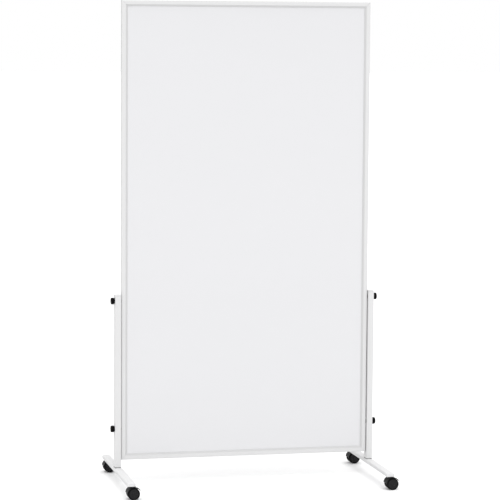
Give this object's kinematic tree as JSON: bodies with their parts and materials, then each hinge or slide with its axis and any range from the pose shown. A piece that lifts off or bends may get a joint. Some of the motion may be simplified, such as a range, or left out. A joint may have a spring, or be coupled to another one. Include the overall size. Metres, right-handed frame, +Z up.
{
  "type": "rolling whiteboard",
  "caption": "Tall portrait whiteboard in a white mitred frame, clamped by hand knobs between two T-shaped legs on black twin-wheel castors.",
  "frame": {"origin": "on the floor, midway between the two feet and midway along them", "axes": "+X to the right of someone facing the board, +Y from the writing side to the back, +Z up"},
  "size_m": [1.0881, 0.6106, 1.897],
  "materials": {
    "frame_white": "satin",
    "writing_surface": "gloss",
    "panel_core": "matte",
    "leg_white": "satin",
    "cap_white": "matte",
    "black_plastic": "matte",
    "wheel_black": "matte",
    "zinc_steel": "satin",
    "key_alloy": "satin"
  },
  "bodies": {
    "stand": {"upright_left": "leg_white", "upright_cap_left": "cap_white", "floor_bar_left": "leg_white", "slot_nut_left_lower": "zinc_steel", "spacer_left_lower": "black_plastic", "slot_nut_left_upper": "zinc_steel", "spacer_left_upper": "black_plastic", "floor_bar_plug_front_left": "cap_white", "castor_stem_front_left": "zinc_steel", "floor_bar_plug_rear_left": "cap_white", "castor_stem_rear_left": "zinc_steel", "upright_right": "leg_white", "upright_cap_right": "cap_white", "floor_bar_right": "leg_white", "slot_nut_right_lower": "zinc_steel", "spacer_right_lower": "black_plastic", "slot_nut_right_upper": "zinc_steel", "spacer_right_upper": "black_plastic", "floor_bar_plug_front_right": "cap_white", "castor_stem_front_right": "zinc_steel", "floor_bar_plug_rear_right": "cap_white", "castor_stem_rear_right": "zinc_steel"},
    "board": {"frame_bottom": "frame_white", "frame_top": "frame_white", "frame_left": "frame_white", "frame_right": "frame_white", "corner_key_bottom_left": "key_alloy", "corner_key_bottom_right": "key_alloy", "corner_key_top_left": "key_alloy", "corner_key_top_right": "key_alloy", "writing_surface_front": "writing_surface", "panel_core": "panel_core", "writing_surface_back": "writing_surface"},
    "knob_left_lower": {"knob_left_lower": "black_plastic", "knob_stud_left_lower": "zinc_steel"},
    "knob_left_upper": {"knob_left_upper": "black_plastic", "knob_stud_left_upper": "zinc_steel"},
    "swivel_front_left": {"castor_hood_front_left": "black_plastic", "castor_axle_front_left": "zinc_steel"},
    "wheel_a_front_left": {"castor_wheel_a_front_left": "wheel_black"},
    "wheel_b_front_left": {"castor_wheel_b_front_left": "wheel_black"},
    "brake_front_left": {"brake_pedal_front_left": "black_plastic"},
    "swivel_rear_left": {"castor_hood_rear_left": "black_plastic", "castor_axle_rear_left": "zinc_steel"},
    "wheel_a_rear_left": {"castor_wheel_a_rear_left": "wheel_black"},
    "wheel_b_rear_left": {"castor_wheel_b_rear_left": "wheel_black"},
    "knob_right_lower": {"knob_right_lower": "black_plastic", "knob_stud_right_lower": "zinc_steel"},
    "knob_right_upper": {"knob_right_upper": "black_plastic", "knob_stud_right_upper": "zinc_steel"},
    "swivel_front_right": {"castor_hood_front_right": "black_plastic", "castor_axle_front_right": "zinc_steel"},
    "wheel_a_front_right": {"castor_wheel_a_front_right": "wheel_black"},
    "wheel_b_front_right": {"castor_wheel_b_front_right": "wheel_black"},
    "brake_front_right": {"brake_pedal_front_right": "black_plastic"},
    "swivel_rear_right": {"castor_hood_rear_right": "black_plastic", "castor_axle_rear_right": "zinc_steel"},
    "wheel_a_rear_right": {"castor_wheel_a_rear_right": "wheel_black"},
    "wheel_b_rear_right": {"castor_wheel_b_rear_right": "wheel_black"}
  },
  "joints": [
    {"name": "board_height", "type": "slide", "parent": "stand", "child": "board", "axis": [0, 0, 1], "range_m": [-0.02, 0.1]},
    {"name": "knob_left_lower_turn", "type": "hinge", "parent": "stand", "child": "knob_left_lower", "pos_m": [-0.524, 0.026, 0.2198], "axis": [-1, 0, 0], "range_deg": [0, 360]},
    {"name": "knob_left_upper_turn", "type": "hinge", "parent": "stand", "child": "knob_left_upper", "pos_m": [-0.524, 0.026, 0.7255], "axis": [-1, 0, 0], "range_deg": [0, 360]},
    {"name": "swivel_front_left_turn", "type": "hinge", "parent": "stand", "child": "swivel_front_left", "pos_m": [-0.51225, -0.281, 0.0415], "axis": [0, 0, 1], "continuous": true},
    {"name": "wheel_a_front_left_roll", "type": "hinge", "parent": "swivel_front_left", "child": "wheel_a_front_left", "pos_m": [-0.50325, -0.2965, 0.0235], "axis": [0, 1, 0], "continuous": true},
    {"name": "wheel_b_front_left_roll", "type": "hinge", "parent": "swivel_front_left", "child": "wheel_b_front_left", "pos_m": [-0.50325, -0.2655, 0.0235], "axis": [0, 1, 0], "continuous": true},
    {"name": "brake_front_left_press", "type": "hinge", "parent": "swivel_front_left", "child": "brake_front_left", "pos_m": [-0.49035, -0.281, 0.0388], "axis": [0, 1, 0], "range_deg": [0, 12]},
    {"name": "swivel_rear_left_turn", "type": "hinge", "parent": "stand", "child": "swivel_rear_left", "pos_m": [-0.51225, 0.281, 0.0415], "axis": [0, 0, 1], "continuous": true},
    {"name": "wheel_a_rear_left_roll", "type": "hinge", "parent": "swivel_rear_left", "child": "wheel_a_rear_left", "pos_m": [-0.50325, 0.2655, 0.0235], "axis": [0, 1, 0], "continuous": true},
    {"name": "wheel_b_rear_left_roll", "type": "hinge", "parent": "swivel_rear_left", "child": "wheel_b_rear_left", "pos_m": [-0.50325, 0.2965, 0.0235], "axis": [0, 1, 0], "continuous": true},
    {"name": "knob_right_lower_turn", "type": "hinge", "parent": "stand", "child": "knob_right_lower", "pos_m": [0.524, 0.026, 0.2198], "axis": [1, 0, 0], "range_deg": [0, 360]},
    {"name": "knob_right_upper_turn", "type": "hinge", "parent": "stand", "child": "knob_right_upper", "pos_m": [0.524, 0.026, 0.7255], "axis": [1, 0, 0], "range_deg": [0, 360]},
    {"name": "swivel_front_right_turn", "type": "hinge", "parent": "stand", "child": "swivel_front_right", "pos_m": [0.51225, -0.281, 0.0415], "axis": [0, 0, 1], "continuous": true},
    {"name": "wheel_a_front_right_roll", "type": "hinge", "parent": "swivel_front_right", "child": "wheel_a_front_right", "pos_m": [0.52125, -0.2965, 0.0235], "axis": [0, 1, 0], "continuous": true},
    {"name": "wheel_b_front_right_roll", "type": "hinge", "parent": "swivel_front_right", "child": "wheel_b_front_right", "pos_m": [0.52125, -0.2655, 0.0235], "axis": [0, 1, 0], "continuous": true},
    {"name": "brake_front_right_press", "type": "hinge", "parent": "swivel_front_right", "child": "brake_front_right", "pos_m": [0.53415, -0.281, 0.0388], "axis": [0, 1, 0], "range_deg": [0, 12]},
    {"name": "swivel_rear_right_turn", "type": "hinge", "parent": "stand", "child": "swivel_rear_right", "pos_m": [0.51225, 0.281, 0.0415], "axis": [0, 0, 1], "continuous": true},
    {"name": "wheel_a_rear_right_roll", "type": "hinge", "parent": "swivel_rear_right", "child": "wheel_a_rear_right", "pos_m": [0.52125, 0.2655, 0.0235], "axis": [0, 1, 0], "continuous": true},
    {"name": "wheel_b_rear_right_roll", "type": "hinge", "parent": "swivel_rear_right", "child": "wheel_b_rear_right", "pos_m": [0.52125, 0.2965, 0.0235], "axis": [0, 1, 0], "continuous": true}
  ]
}
